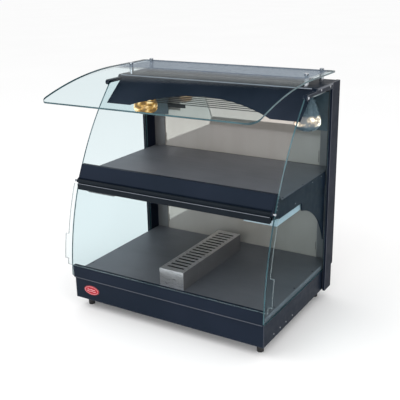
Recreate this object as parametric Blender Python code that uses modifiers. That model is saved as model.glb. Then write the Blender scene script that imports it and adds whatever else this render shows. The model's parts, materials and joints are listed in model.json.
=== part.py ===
"""Countertop heated display cabinet: two heated decks behind curved glass, a lamp hood, a canopy."""
import math

import bmesh
import bpy
from mathutils import Matrix

# All sizes are metres. X runs across the front, Y towards the back, Z up from the counter.
# The origin is on the counter, in the middle of the cabinet's overall width and depth.

GAP = 0.0003                      # clearance between neighbouring pieces

# Driving dimensions
FRONT = -0.256                    # front face of the base
BASE_HALF_WIDTH = 0.395
BASE_DEPTH = 0.560
BASE_BOTTOM = 0.0405              # height of the feet
BASE_TOP = 0.124
SHEET = 0.002                     # steel sheet thickness
LOWER_DECK_TOP = 0.1455
UPPER_DECK_TOP = 0.5137
DECK_REAR = 0.5597                # depths are all measured back from the base's front face
LIP_TOP = 0.1735
LIP_PROUD = 0.008
LIP_REAR = 0.007

POST_FRONT = 0.496
POST_REAR = 0.566
POST_LOWER_REAR = 0.555           # the post is shallower below the notch
POST_NOTCH_HEIGHT = 0.132
POST_INNER = 0.3953
POST_OUTER = 0.4097
HOOD_TOP = 0.836

GLASS_INNER = 0.3952
GLASS_OUTER = 0.4002
GLASS_BOTTOM = 0.127
GLASS_TOP = 0.8147
GLASS_NOSE = -0.0096              # foremost point of the side panes' curved edge
GLASS_CURVE_BASE = 0.102          # height of the curve's centre
GLASS_CURVE_RADIUS = 1.023
GLASS_CURVE_END = math.radians(40.4)

SHELF_UNDERSIDE = 0.458
SHELF_PAN_TOP = 0.497
SHELF_FRONT = 0.081
SHELF_HALF_WIDTH = 0.390
HINGE_DEPTH = 0.054               # axis of the front door's hinge
HINGE_HEIGHT = 0.487
HINGE_RADIUS = 0.007
ARM_INNER = 0.3905
ARM_OUTER = 0.3945

DOOR_HALF_WIDTH = 0.4135
DOOR_TAB_HALF_WIDTH = 0.427
DOOR_BOTTOM = 0.1755
DOOR_TOP = 0.474
TAB_BOTTOM = 0.198
TAB_TOP = 0.292

APRON_BOTTOM_DEPTH = 0.250
APRON_BOTTOM = 0.743
HOOD_FRONT = 0.363
HOOD_REAR = 0.558
ARCH_RISE = 0.043
ARCH_HALF_WIDTH = 0.285

CANOPY_HALF_WIDTH = 0.408
CANOPY_TOP = 0.8733
CANOPY_REAR = 0.523
CANOPY_BEND = 0.322               # depth at which the flat top starts to curve down
CANOPY_RADIUS = 1.270
CANOPY_SWEEP = math.radians(17.6)
CANOPY_NOSE = -0.094
CANOPY_THICKNESS = 0.006
CANOPY_CORNER = 0.035

REAR_DOOR_HALF_WIDTH = 0.352
REAR_OPENING_HALF_WIDTH = 0.345
REAR_DOOR_FRONT = 0.5640
REAR_DOOR_THICKNESS = 0.005
REAR_HINGE_DEPTH = 0.5665
REAR_KNUCKLE = 0.0042
REAR_RAIL_FRONT = 0.5622
REAR_HINGES = {"lower": 0.4770, "upper": 0.7810}
PULL_REACH = 0.606
ROD_RADIUS = 0.0025
ROD_CLEARANCE = 0.0004

CONTROL_HEIGHT = 0.083            # middle of the rear control panel
SPINDLE_BORE = 0.0040
BADGE_HEIGHT = 0.083
ROCKER_TIP = 8                    # degrees from level to pressed

STEAM_CENTRE = 0.006              # the humidity box stands a little right of the middle
STEAM_HALF_WIDTH = 0.050
STEAM_FRONT = 0.054
STEAM_REAR = 0.478
STEAM_TOP = 0.213
STEAM_SLOTS = 16


# ---------------------------------------------------------------- helpers

for old_object in list(bpy.data.objects):
    bpy.data.objects.remove(old_object, do_unlink=True)

scene = bpy.context.scene
parts = bpy.data.collections.new("heated_display_cabinet")
cutters = bpy.data.collections.new("cutters")
scene.collection.children.link(parts)
scene.collection.children.link(cutters)


def depth(distance):
    """World Y of a place that lies this far behind the base's front face."""
    return FRONT + distance


def material(name, colour, roughness, metallic=0.0, transmission=0.0):
    made = bpy.data.materials.new(name)
    made.use_nodes = True
    shader = made.node_tree.nodes["Principled BSDF"]
    shader.inputs["Base Color"].default_value = (*colour, 1.0)
    shader.inputs["Roughness"].default_value = roughness
    shader.inputs["Metallic"].default_value = metallic
    shader.inputs["Transmission Weight"].default_value = transmission
    return made


POWDER_COAT = material("powder_coat", (0.018, 0.022, 0.032), 0.38)
HARD_COAT = material("hard_coat_deck", (0.075, 0.080, 0.085), 0.55, 0.3)
STAINLESS = material("stainless", (0.62, 0.60, 0.58), 0.28, 1.0)
GREY_STEEL = material("grey_steel", (0.30, 0.30, 0.31), 0.35, 0.8)
BRIGHT_METAL = material("bright_metal", (0.80, 0.81, 0.82), 0.15, 1.0)
BLACK_EXTRUSION = material("black_extrusion", (0.020, 0.022, 0.028), 0.30, 0.6)
CLEAR_GLASS = material("clear_glass", (0.86, 0.94, 0.94), 0.02, 0.0, 1.0)
MIRROR = material("mirror", (0.86, 0.87, 0.85), 0.02, 1.0)
RUBBER = material("rubber", (0.02, 0.02, 0.02), 0.85)
BLACK_PLASTIC = material("black_plastic", (0.03, 0.03, 0.03), 0.45)
RED_ENAMEL = material("red_enamel", (0.55, 0.02, 0.05), 0.25)
HEATER_FOIL = material("heater_foil", (0.70, 0.45, 0.25), 0.40, 0.7)
LAMP_GLASS = material("lamp_glass", (0.95, 0.82, 0.60), 0.20)
WHITE_ENAMEL = material("white_enamel", (0.78, 0.80, 0.82), 0.35)


def place(made, name, finish, cutter=False):
    """Name an object, give it its finish and put it in its collection."""
    made.name = name
    made.data.name = name
    made.data.materials.clear()
    if finish is not None:
        made.data.materials.append(finish)
    for collection in list(made.users_collection):
        collection.objects.unlink(made)
    (cutters if cutter else parts).objects.link(made)
    if cutter:
        made.hide_render = True
        made.display_type = "WIRE"
    return made


def bevel(made, width, segments=1):
    added = made.modifiers.new("edge", "BEVEL")
    added.width = width
    added.segments = segments
    added.limit_method = "ANGLE"
    return made


def box(name, x_span, y_span, z_span, finish=None, edge=0.0, cutter=False):
    """A rectangular block between three pairs of limits; Y limits are world values."""
    spans = (x_span, y_span, z_span)
    centre = [(low + high) / 2 for low, high in spans]
    bpy.ops.mesh.primitive_cube_add(size=1, location=centre)
    made = bpy.context.object
    made.data.transform(Matrix.Diagonal([high - low for low, high in spans] + [1.0]))
    place(made, name, finish, cutter)
    if edge:
        bevel(made, edge)
    return made


def mesh_of(curve_object, name, finish, cutter=False):
    """Turn a filled curve into a closed mesh object in the same place."""
    bpy.context.view_layer.update()
    graph = bpy.context.evaluated_depsgraph_get()
    mesh = bpy.data.meshes.new_from_object(curve_object.evaluated_get(graph))
    welded = bmesh.new()
    welded.from_mesh(mesh)
    bmesh.ops.remove_doubles(welded, verts=welded.verts, dist=0.00002)
    bmesh.ops.recalc_face_normals(welded, faces=welded.faces)
    welded.to_mesh(mesh)
    welded.free()
    made = bpy.data.objects.new(name, mesh)
    made.matrix_world = curve_object.matrix_world.copy()
    scene.collection.objects.link(made)
    bpy.data.objects.remove(curve_object, do_unlink=True)
    return place(made, name, finish, cutter)


def outline(name, points, turn, middle, thickness, finish=None, edge=0.0, cutter=False):
    """A flat outline, extruded both ways from its middle plane and turned into place."""
    curve = bpy.data.curves.new(name, "CURVE")
    curve.dimensions = "2D"
    curve.fill_mode = "BOTH"
    curve.extrude = thickness / 2
    spline = curve.splines.new("POLY")
    spline.points.add(len(points) - 1)
    for point, (first, second) in zip(spline.points, points):
        point.co = (first, second, 0.0, 1.0)
    spline.use_cyclic_u = True
    flat = bpy.data.objects.new(name + "_curve", curve)
    flat.rotation_euler = turn
    flat.location = middle
    scene.collection.objects.link(flat)
    made = mesh_of(flat, name, finish, cutter)
    if edge:
        bevel(made, edge)
    return made


def side_profile(name, points, x_span, finish=None, edge=0.0, cutter=False):
    """An outline given as (depth, height), extruded across the cabinet between two X limits."""
    turn = (math.pi / 2, 0.0, math.pi / 2)
    middle = (sum(x_span) / 2, FRONT, 0.0)
    return outline(name, points, turn, middle, x_span[1] - x_span[0], finish, edge, cutter)


def front_profile(name, points, y_span, finish=None, edge=0.0, cutter=False):
    """An outline given as (x, z), extruded between two world Y limits."""
    turn = (math.pi / 2, 0.0, 0.0)
    middle = (0.0, sum(y_span) / 2, 0.0)
    return outline(name, points, turn, middle, y_span[1] - y_span[0], finish, edge, cutter)


def plan_profile(name, points, z_span, finish=None, edge=0.0, cutter=False):
    """An outline given as (x, world y), extruded between two heights."""
    middle = (0.0, 0.0, sum(z_span) / 2)
    return outline(name, points, (0.0, 0.0, 0.0), middle, z_span[1] - z_span[0], finish, edge, cutter)


def cylinder(name, radius, start, end, axis="Z", finish=None, sides=24, cutter=False):
    """A cylinder between two points that differ along one axis."""
    length = sum(b - a for a, b in zip(start, end))
    centre = [(a + b) / 2 for a, b in zip(start, end)]
    turn = {"X": (0.0, math.pi / 2, 0.0), "Y": (math.pi / 2, 0.0, 0.0), "Z": (0.0, 0.0, 0.0)}[axis]
    bpy.ops.mesh.primitive_cylinder_add(
        vertices=sides, radius=radius, depth=length, location=centre, rotation=turn)
    made = bpy.context.object
    place(made, name, finish, cutter)
    smooth(made)
    return made


def turned(name, profile, centre, finish, sides=24, turn=(0.0, 0.0, 0.0)):
    """A solid of revolution about its own Z; the profile runs from the top axis point to the bottom one."""
    mesh = bpy.data.meshes.new(name)
    points = [(radius, 0.0, height) for radius, height in profile]
    mesh.from_pydata(points, [(i, i + 1) for i in range(len(points) - 1)], [])
    made = bpy.data.objects.new(name, mesh)
    scene.collection.objects.link(made)
    place(made, name, finish)
    made.location = centre
    made.rotation_euler = turn
    spin = made.modifiers.new("turn", "SCREW")
    spin.steps = sides
    spin.render_steps = sides
    spin.use_merge_vertices = True
    spin.merge_threshold = 0.00005
    spin.use_smooth_shade = False
    return made


def combine(target, other, operation="DIFFERENCE"):
    added = target.modifiers.new(operation.lower(), "BOOLEAN")
    added.operation = operation
    added.solver = "EXACT"
    added.object = other
    return target


def smooth(made, angle=40):
    made.data.shade_smooth()
    made.data.set_sharp_from_angle(angle=math.radians(angle))
    return made


def arc(centre, radius, start, end, steps):
    """Points on a circle from one angle to another, in degrees."""
    angles = [math.radians(start + (end - start) * i / steps) for i in range(steps + 1)]
    return [(centre[0] + radius * math.cos(a), centre[1] + radius * math.sin(a)) for a in angles]


def mirrored_names(name):
    """The two sides of a mirrored pair, as (name, sign of X)."""
    return ((name + "_left", -1), (name + "_right", 1))


def across(sign, inner, outer):
    """X limits of a piece that lies between two distances from the middle plane."""
    return (inner, outer) if sign > 0 else (-outer, -inner)


# ---------------------------------------------------------------- base

def make_base():
    rear = depth(BASE_DEPTH)
    tub = box("base_tub", (-BASE_HALF_WIDTH, BASE_HALF_WIDTH), (FRONT, rear),
              (BASE_BOTTOM, BASE_TOP), POWDER_COAT, 0.0012)
    inside = BASE_HALF_WIDTH - SHEET
    combine(tub, box("base_hollow", (-inside, inside), (FRONT + SHEET, rear - SHEET),
                     (BASE_BOTTOM + SHEET, BASE_TOP + 0.02), cutter=True))
    combine(tub, box("control_opening", (-0.150, 0.150), (rear - 0.010, rear + 0.010),
                     (0.052, 0.112), cutter=True))
    combine(tub, cylinder("gland_hole", 0.0083, (-0.300, rear - 0.01, 0.082),
                          (-0.300, rear + 0.01, 0.082), "Y", cutter=True))

    lip_face = -LIP_PROUD
    side_profile("base_lip", [
        (LIP_REAR, BASE_TOP + GAP), (lip_face + 0.004, BASE_TOP + GAP), (lip_face, BASE_TOP + 0.0045),
        (lip_face, LIP_TOP - 0.0015), (lip_face + 0.0015, LIP_TOP), (LIP_REAR, LIP_TOP),
        (LIP_REAR, BASE_TOP + 0.010), (LIP_REAR - SHEET, BASE_TOP + 0.010),
        (LIP_REAR - SHEET, LIP_TOP - SHEET),
        (lip_face + SHEET, LIP_TOP - SHEET), (lip_face + SHEET, BASE_TOP + 0.0055),
        (lip_face + 0.005, BASE_TOP + GAP + SHEET), (LIP_REAR, BASE_TOP + GAP + SHEET),
    ], (-ARM_OUTER, ARM_OUTER), POWDER_COAT)

    deck_front = depth(LIP_REAR + GAP)
    deck = box("lower_deck", (-ARM_OUTER, ARM_OUTER), (deck_front, depth(DECK_REAR)),
               (BASE_TOP + GAP, LOWER_DECK_TOP), HARD_COAT, 0.0015)
    combine(deck, box("lower_deck_hollow", (-ARM_OUTER + SHEET, ARM_OUTER - SHEET),
                      (deck_front + SHEET, depth(DECK_REAR) - SHEET),
                      (BASE_TOP - 0.01, LOWER_DECK_TOP - SHEET), cutter=True))
    under_deck = LOWER_DECK_TOP - SHEET - GAP
    box("deck_heater", (-0.340, 0.340), (depth(0.050), depth(0.520)),
        (under_deck - 0.003, under_deck), HEATER_FOIL)

    for place_name, along in (("front", 0.045), ("rear", 0.515)):
        for name, sign in mirrored_names("foot_" + place_name):
            turned(name, [(0.0, BASE_BOTTOM - GAP), (0.0105, BASE_BOTTOM - GAP), (0.0105, 0.030),
                          (0.0125, 0.028), (0.0118, 0.001), (0.0108, 0.0), (0.0, 0.0)],
                   (sign * 0.361, depth(along), 0.0), RUBBER)

    badge = turned("badge", [(0.0, 0.0026), (0.70, 0.0026), (0.94, 0.0020), (1.0, 0.0008), (1.0, 0.0),
                             (0.0, 0.0)],
                   (-0.318, FRONT - GAP, BADGE_HEIGHT), RED_ENAMEL, 40, (math.pi / 2, 0.0, 0.0))
    badge.scale = (0.036, 0.019, 1.0)


def make_controls():
    rear = depth(BASE_DEPTH) + GAP
    panel = box("control_panel", (-0.170, 0.170), (rear, rear + SHEET), (0.046, 0.119), GREY_STEEL)
    for name, centre_x in (("lights", -0.130), ("power", -0.090)):
        housing = box(name + "_housing", (centre_x - 0.0125, centre_x + 0.0125),
                      (rear - 0.024, rear + 0.003), (0.067, 0.099), cutter=True)
        combine(panel, housing, "UNION")
        combine(panel, box(name + "_well", (centre_x - 0.0095, centre_x + 0.0095),
                           (rear - 0.018, rear + 0.010), (0.069, 0.097), cutter=True))
        make_rocker("rocker_" + name, centre_x, rear)
    for name, centre_x in (("lower", 0.035), ("upper", 0.115)):
        combine(panel, cylinder(name + "_spindle_hole", SPINDLE_BORE, (centre_x, rear - 0.01, CONTROL_HEIGHT),
                                (centre_x, rear + 0.01, CONTROL_HEIGHT), "Y", cutter=True))
        body = box("thermostat_" + name, (centre_x - 0.018, centre_x + 0.018), (rear - 0.032, rear - GAP),
                   (0.065, 0.101), BLACK_PLASTIC, 0.0015)
        combine(body, cylinder(name + "_spindle_bore", SPINDLE_BORE, (centre_x, rear - 0.014, CONTROL_HEIGHT),
                               (centre_x, rear + 0.01, CONTROL_HEIGHT), "Y", cutter=True))
        make_knob("knob_" + name, centre_x, rear + SHEET)

    gland = turned("cable_gland", [(0.0045, 0.010), (0.0115, 0.016), (0.0125, 0.013), (0.0125, 0.004),
                                   (0.0140, 0.004), (0.0140, GAP), (0.0080, GAP), (0.0080, -0.012),
                                   (0.0045, -0.012), (0.0045, 0.010)],
                   (-0.300, depth(BASE_DEPTH), 0.082), BLACK_PLASTIC, 24, (-math.pi / 2, 0.0, 0.0))
    smooth(gland)


def make_knob(name, centre_x, face):
    """A thermostat knob with its spindle, whose origin is on its axis."""
    turned(name, [(0.0, 0.0180), (0.0125, 0.0180), (0.0140, 0.0165), (0.0150, 0.0060), (0.0190, 0.0035),
                  (0.0190, 0.0005), (0.0035, 0.0005), (0.0035, -0.0120), (0.0, -0.0120)],
           (centre_x, face, CONTROL_HEIGHT), BLACK_PLASTIC, 32, (-math.pi / 2, 0.0, 0.0))
    pointer = box(name + "_pointer", (centre_x - 0.0012, centre_x + 0.0012),
                  (face + 0.0120, face + 0.0192), (0.084, 0.0975), cutter=True)
    combine(bpy.data.objects[name], pointer, "UNION")


def make_rocker(name, centre_x, face):
    """A rocker whose pressed half lies flush in its well; it tips about its own X axis."""
    made = side_profile(name, [(-0.0075, -0.0125), (0.0035, -0.0125), (0.0010, 0.0), (0.0035, 0.0125),
                               (-0.0075, 0.0125)], (-0.0088, 0.0088), BLACK_PLASTIC)
    pressed = Matrix.Rotation(math.radians(ROCKER_TIP), 4, "X")
    upright = made.rotation_euler.to_matrix().to_4x4()
    made.matrix_world = Matrix.Translation((centre_x, face, CONTROL_HEIGHT)) @ pressed @ upright


# ---------------------------------------------------------------- posts and panes

def make_posts():
    for name, sign in mirrored_names("post"):
        rebate = 0.4005
        corners = [(POST_INNER, POST_FRONT + 0.008), (rebate, POST_FRONT + 0.008), (rebate, POST_FRONT),
                   (POST_OUTER, POST_FRONT), (POST_OUTER, POST_REAR), (POST_INNER, POST_REAR)]
        post = plan_profile(name, [(sign * x, depth(y)) for x, y in corners],
                            (BASE_BOTTOM, HOOD_TOP), POWDER_COAT)
        combine(post, box(name + "_hollow", across(sign, POST_INNER + SHEET, POST_OUTER - SHEET),
                          (depth(POST_FRONT + 0.010), depth(POST_LOWER_REAR - SHEET)),
                          (BASE_BOTTOM - 0.01, HOOD_TOP - SHEET), cutter=True))
        combine(post, box(name + "_notch", across(sign, POST_INNER - 0.01, POST_OUTER + 0.01),
                          (depth(POST_LOWER_REAR), depth(POST_REAR + 0.01)),
                          (BASE_BOTTOM - 0.01, POST_NOTCH_HEIGHT), cutter=True))


def make_side_panes():
    centre = (GLASS_NOSE + GLASS_CURVE_RADIUS, GLASS_CURVE_BASE)
    first = math.degrees(math.asin((GLASS_BOTTOM + 0.006 - GLASS_CURVE_BASE) / GLASS_CURVE_RADIUS))
    curve = arc(centre, GLASS_CURVE_RADIUS, 180 - first, 180 - math.degrees(GLASS_CURVE_END), 22)
    curve_top_depth, curve_top_height = curve[-1]
    top_front = curve_top_depth + (GLASS_TOP - curve_top_height) * math.tan(GLASS_CURVE_END)
    rear = POST_FRONT + 0.008 - GAP
    points = [(GLASS_NOSE + 0.006, GLASS_BOTTOM)] + curve + [(top_front, GLASS_TOP), (rear, GLASS_TOP),
                                                            (rear, GLASS_BOTTOM)]
    for name, sign in mirrored_names("side_glass"):
        side_profile(name, points, across(sign, GLASS_INNER, GLASS_OUTER), CLEAR_GLASS)


# ---------------------------------------------------------------- middle shelf

def make_shelf():
    lip_top = 0.543
    apron = side_profile("shelf_apron", [
        (0.0605, 0.4973), (0.0820, lip_top), (0.0960, lip_top), (0.0960, UPPER_DECK_TOP + GAP),
        (0.0940, UPPER_DECK_TOP + GAP), (0.0940, lip_top - SHEET), (0.0833, lip_top - SHEET),
        (0.0640, 0.4998), (0.0806, 0.4998), (0.0806, 0.4620), (0.0640, 0.4620), (0.0622, 0.4660),
        (0.0622, 0.4973),
    ], (-SHELF_HALF_WIDTH, SHELF_HALF_WIDTH), POWDER_COAT)
    combine(apron, cylinder("hinge_seat", HINGE_RADIUS + 0.0008, (-0.5, depth(HINGE_DEPTH), HINGE_HEIGHT),
                            (0.5, depth(HINGE_DEPTH), HINGE_HEIGHT), "X", sides=32, cutter=True))

    deck_front = depth(0.0965)
    deck = box("shelf_deck", (-SHELF_HALF_WIDTH, SHELF_HALF_WIDTH), (deck_front, depth(DECK_REAR)),
               (SHELF_PAN_TOP + GAP, UPPER_DECK_TOP), HARD_COAT, 0.0015)
    inside = SHELF_HALF_WIDTH - SHEET
    combine(deck, box("shelf_deck_hollow", (-inside, inside),
                      (deck_front + SHEET, depth(DECK_REAR) - SHEET),
                      (SHELF_PAN_TOP - 0.01, UPPER_DECK_TOP - SHEET), cutter=True))
    pan = box("shelf_pan", (-SHELF_HALF_WIDTH, SHELF_HALF_WIDTH), (depth(SHELF_FRONT), depth(DECK_REAR)),
              (SHELF_UNDERSIDE, SHELF_PAN_TOP), POWDER_COAT, 0.001)
    combine(pan, box("shelf_pan_hollow", (-inside, inside),
                     (depth(SHELF_FRONT) + SHEET, depth(DECK_REAR) - SHEET),
                     (SHELF_UNDERSIDE + SHEET, SHELF_PAN_TOP + 0.01), cutter=True))
    under_deck = UPPER_DECK_TOP - SHEET - GAP
    box("shelf_heater", (-0.340, 0.340), (depth(0.130), depth(0.520)),
        (under_deck - 0.003, under_deck), HEATER_FOIL)
    make_arms(lip_top)
    make_shelf_lamps()


def make_arms(lip_top):
    """Side plates that carry the shelf on the posts, each with an ear round the front hinge rod."""
    ear = arc((HINGE_DEPTH, HINGE_HEIGHT), HINGE_RADIUS, 330, 120, 12)
    start, control, end = (0.300, 0.424), (0.445, 0.385), (POST_FRONT - GAP, 0.250)
    gusset = []
    steps = 12
    for i in range(steps + 1):
        t = i / steps
        weights = ((1 - t) ** 2, 2 * t * (1 - t), t ** 2)
        gusset.append(tuple(sum(w * p[k] for w, p in zip(weights, (start, control, end))) for k in (0, 1)))
    upper_edge = [(0.0605, 0.4985), (0.0820, lip_top), (0.0960, lip_top), (0.122, 0.5120),
                  (POST_FRONT - GAP, 0.5120)]
    lower_edge = [(0.287, 0.427), (0.283, 0.4560), (0.105, 0.4560)]
    points = [(0.0700, 0.4660)] + ear + upper_edge + gusset[::-1] + lower_edge
    for name, sign in mirrored_names("shelf_arm"):
        arm = side_profile(name, points, across(sign, ARM_INNER, ARM_OUTER), POWDER_COAT)
        bore_start, bore_end = across(sign, ARM_INNER - 0.01, ARM_OUTER + 0.01)
        combine(arm, cylinder(name + "_bore", ROD_RADIUS + GAP,
                              (bore_start, depth(HINGE_DEPTH), HINGE_HEIGHT),
                              (bore_end, depth(HINGE_DEPTH), HINGE_HEIGHT), "X", cutter=True))


def make_shelf_lamps():
    """Lamps under the shelf that light the lower chamber, each in an open-bottomed shield."""
    top = SHELF_UNDERSIDE - GAP
    for name, sign in mirrored_names("lamp_shield"):
        shield = side_profile(name, [(0.100, 0.430), (0.100, top), (0.300, top), (0.300, 0.440),
                                     (0.285, 0.430)], across(sign, 0.268, 0.388), WHITE_ENAMEL)
        combine(shield, side_profile(name + "_hollow", [(0.1015, 0.420), (0.1015, top - 0.0015),
                                                        (0.2985, top - 0.0015), (0.2985, 0.420)],
                                     across(sign, 0.2695, 0.3865), cutter=True))
    for name, sign in mirrored_names("shelf_lamp"):
        turned(name, [(0.0, 0.070), (0.0085, 0.068), (0.0105, 0.060), (0.0105, -0.045), (0.0060, -0.052),
                      (0.0060, -0.090), (0.0, -0.090)],
               (sign * 0.328, depth(0.200), 0.4435), LAMP_GLASS, 16, (math.pi / 2, 0.0, 0.0))


# ---------------------------------------------------------------- front door

def make_front_door():
    centre = (GLASS_NOSE + GLASS_CURVE_RADIUS, GLASS_CURVE_BASE)
    inner = GLASS_CURVE_RADIUS + 0.0015
    outer = inner + 0.005
    low = 180 - math.degrees(math.asin((DOOR_BOTTOM - GLASS_CURVE_BASE) / inner))
    high = 180 - math.degrees(math.asin((DOOR_TOP - GLASS_CURVE_BASE) / inner))
    band = arc(centre, outer, low, high, 14) + arc(centre, inner, high, low, 14)
    pane = side_profile("front_door_glass", band, (-DOOR_TAB_HALF_WIDTH, DOOR_TAB_HALF_WIDTH), CLEAR_GLASS)
    ends = (("above", TAB_TOP, DOOR_TOP + 0.02), ("below", DOOR_BOTTOM - 0.02, TAB_BOTTOM))
    for place_name, bottom, top in ends:
        for name, sign in mirrored_names("door_edge_" + place_name):
            combine(pane, box(name, across(sign, DOOR_HALF_WIDTH, DOOR_TAB_HALF_WIDTH + 0.02),
                              (depth(-0.05), depth(0.10)), (bottom, top), cutter=True))

    knuckle = arc((HINGE_DEPTH, HINGE_HEIGHT), HINGE_RADIUS, 222, 0, 20)
    rail = side_profile("front_door_rail", [(0.0448, 0.4570), (0.0448, 0.4772), (0.0458, 0.4782),
                                            (0.0490, 0.4782)] + knuckle + [
        (0.0610, 0.4820), (0.0616, 0.4750), (0.0556, 0.4570), (0.0533, 0.4570), (0.0606, 0.4764),
        (0.0530, 0.4764), (0.0465, 0.4570)], (-SHELF_HALF_WIDTH, SHELF_HALF_WIDTH), BLACK_EXTRUSION)
    combine(rail, cylinder("front_rail_bore", ROD_RADIUS + ROD_CLEARANCE,
                           (-0.5, depth(HINGE_DEPTH), HINGE_HEIGHT),
                           (0.5, depth(HINGE_DEPTH), HINGE_HEIGHT), "X", cutter=True))
    rod("front_door_rod", depth(HINGE_DEPTH), HINGE_HEIGHT, 0.4060)


def rod(name, y, z, half_length):
    """A hinge rod with a domed head at each end."""
    head = 0.0045
    neck = 0.003
    turned(name, [(0.0, half_length), (head * 0.7, half_length - 0.0004), (head, half_length - 0.0012),
                  (head, half_length - neck), (ROD_RADIUS, half_length - neck),
                  (ROD_RADIUS, -half_length + neck), (head, -half_length + neck),
                  (head, -half_length + 0.0012), (head * 0.7, -half_length + 0.0004), (0.0, -half_length)],
           (0.0, y, z), BRIGHT_METAL, 20, (0.0, math.pi / 2, 0.0))


# ---------------------------------------------------------------- hood

def make_hood():
    slope_depth = HOOD_FRONT - APRON_BOTTOM_DEPTH
    slope_height = HOOD_TOP - APRON_BOTTOM
    slope = math.hypot(slope_depth, slope_height)
    inward = (SHEET * slope_height / slope, -SHEET * slope_depth / slope)
    crease = SHEET * (slope - slope_depth) / slope_height
    hood = side_profile("hood_cover", [
        (HOOD_REAR, HOOD_TOP), (HOOD_FRONT, HOOD_TOP), (APRON_BOTTOM_DEPTH, APRON_BOTTOM),
        (APRON_BOTTOM_DEPTH + inward[0], APRON_BOTTOM + inward[1]), (HOOD_FRONT + crease, HOOD_TOP - SHEET),
        (HOOD_REAR - SHEET, HOOD_TOP - SHEET), (HOOD_REAR - SHEET, 0.7720), (HOOD_REAR, 0.7720),
    ], (-BASE_HALF_WIDTH, BASE_HALF_WIDTH), POWDER_COAT)
    radius = (ARCH_HALF_WIDTH ** 2 + ARCH_RISE ** 2) / (2 * ARCH_RISE)
    centre = (0.0, APRON_BOTTOM + ARCH_RISE - radius)
    half_angle = math.degrees(math.asin(ARCH_HALF_WIDTH / radius))
    arch = arc(centre, radius, 90 + half_angle, 90 - half_angle, 24)
    floor = APRON_BOTTOM - 0.03
    combine(hood, front_profile("hood_arch", arch + [(ARCH_HALF_WIDTH, floor), (-ARCH_HALF_WIDTH, floor)],
                                (depth(0.20), depth(0.40)), cutter=True))

    nose = (0.276, 0.8165)
    for name, sign in mirrored_names("hood_end"):
        end = side_profile(name, [(POST_FRONT - GAP, HOOD_TOP), (0.352, HOOD_TOP), (0.344, 0.826)]
                           + arc(nose, 0.0095, 90, 300, 10)
                           + [(0.296, 0.8150), (POST_FRONT - GAP, 0.8150)],
                           across(sign, POST_INNER, POST_OUTER), POWDER_COAT)
        combine(end, box(name + "_rebate", across(sign, POST_INNER - 0.01, GLASS_OUTER + GAP),
                         (depth(0.20), depth(0.60)), (0.78, 0.8150), cutter=True))

    pan = box("reflector_pan", (-0.385, 0.385), (depth(0.385), depth(0.552)),
              (0.800, HOOD_TOP - SHEET - GAP), STAINLESS)
    combine(pan, box("reflector_hollow", (-0.3835, 0.3835), (depth(0.3865), depth(0.5505)),
                     (0.79, HOOD_TOP - SHEET - GAP - 0.0015), cutter=True))
    guard = box("heater_guard", (-0.2900, 0.2900), (depth(0.3490), depth(0.5500)), (0.7390, 0.7997), STAINLESS)
    combine(guard, box("guard_hollow", (-0.2885, 0.2885), (depth(0.30), depth(0.60)), (0.7415, 0.85), cutter=True))
    for i in range(6):
        start = 0.3520 + 0.0330 * i
        combine(guard, box(f"guard_slot_{i}", (-0.2885, 0.2885), (depth(start), depth(start + 0.0300)),
                           (0.73, 0.85), cutter=True))
    make_heater()
    for name, sign in mirrored_names("hood_lamp"):
        turned(name, [(0.0, 0.8308), (0.0140, 0.8308), (0.0140, 0.8060), (0.0125, 0.8020), (0.0170, 0.7930),
                      (0.0290, 0.7680), (0.0400, 0.7380), (0.0465, 0.7130), (0.0475, 0.7000),
                      (0.0465, 0.6905), (0.0400, 0.6810), (0.0260, 0.6745), (0.0, 0.6715)],
               (sign * 0.3450, depth(0.430), 0.0), LAMP_GLASS, 28)


def make_heater():
    """A hairpin of sheathed heating element under the reflector."""
    curve = bpy.data.curves.new("radiant_heater", "CURVE")
    curve.dimensions = "3D"
    curve.bevel_depth = 0.004
    curve.bevel_resolution = 2
    curve.use_fill_caps = True
    half, spread = 0.250, 0.030
    bend = [(half + spread * math.cos(a), spread * math.sin(a))
            for a in [math.radians(-90 + 180 * i / 8) for i in range(9)]]
    run = [(-half, -spread)] + bend + [(-half, spread)]
    spline = curve.splines.new("POLY")
    spline.points.add(len(run) - 1)
    for point, (x, y) in zip(spline.points, run):
        point.co = (x, depth(0.468) + y, 0.818, 1.0)
    tube = bpy.data.objects.new("radiant_heater_curve", curve)
    scene.collection.objects.link(tube)
    mesh_of(tube, "radiant_heater", GREY_STEEL)


# ---------------------------------------------------------------- rear frame and doors

def make_rear():
    frame = (depth(BASE_DEPTH), depth(BASE_DEPTH + 0.0018))
    opening = REAR_OPENING_HALF_WIDTH - GAP
    for name, sign in mirrored_names("jamb"):
        jamb = box(name, across(sign, REAR_OPENING_HALF_WIDTH, POST_INNER - GAP), frame,
                   (BASE_TOP + GAP, 0.7895), GREY_STEEL)
        for level, height in REAR_HINGES.items():
            ear = box(f"{name}_{level}_ear", across(sign, 0.3540, 0.3570),
                      (depth(0.5605), depth(REAR_HINGE_DEPTH + 0.0065)),
                      (height - 0.007, height + 0.007), cutter=True)
            bore = cylinder(f"{name}_{level}_bore", ROD_RADIUS + GAP,
                            (sign * 0.3555 - 0.01, depth(REAR_HINGE_DEPTH), height),
                            (sign * 0.3555 + 0.01, depth(REAR_HINGE_DEPTH), height), "X", cutter=True)
            combine(jamb, ear, "UNION")
            combine(jamb, bore)
    box("rear_mid_rail", (-opening, opening), frame, (0.4520, UPPER_DECK_TOP), POWDER_COAT)
    make_rear_door("lower", 0.1410, 0.1850)
    make_rear_door("upper", 0.5100, 0.5550)


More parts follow.
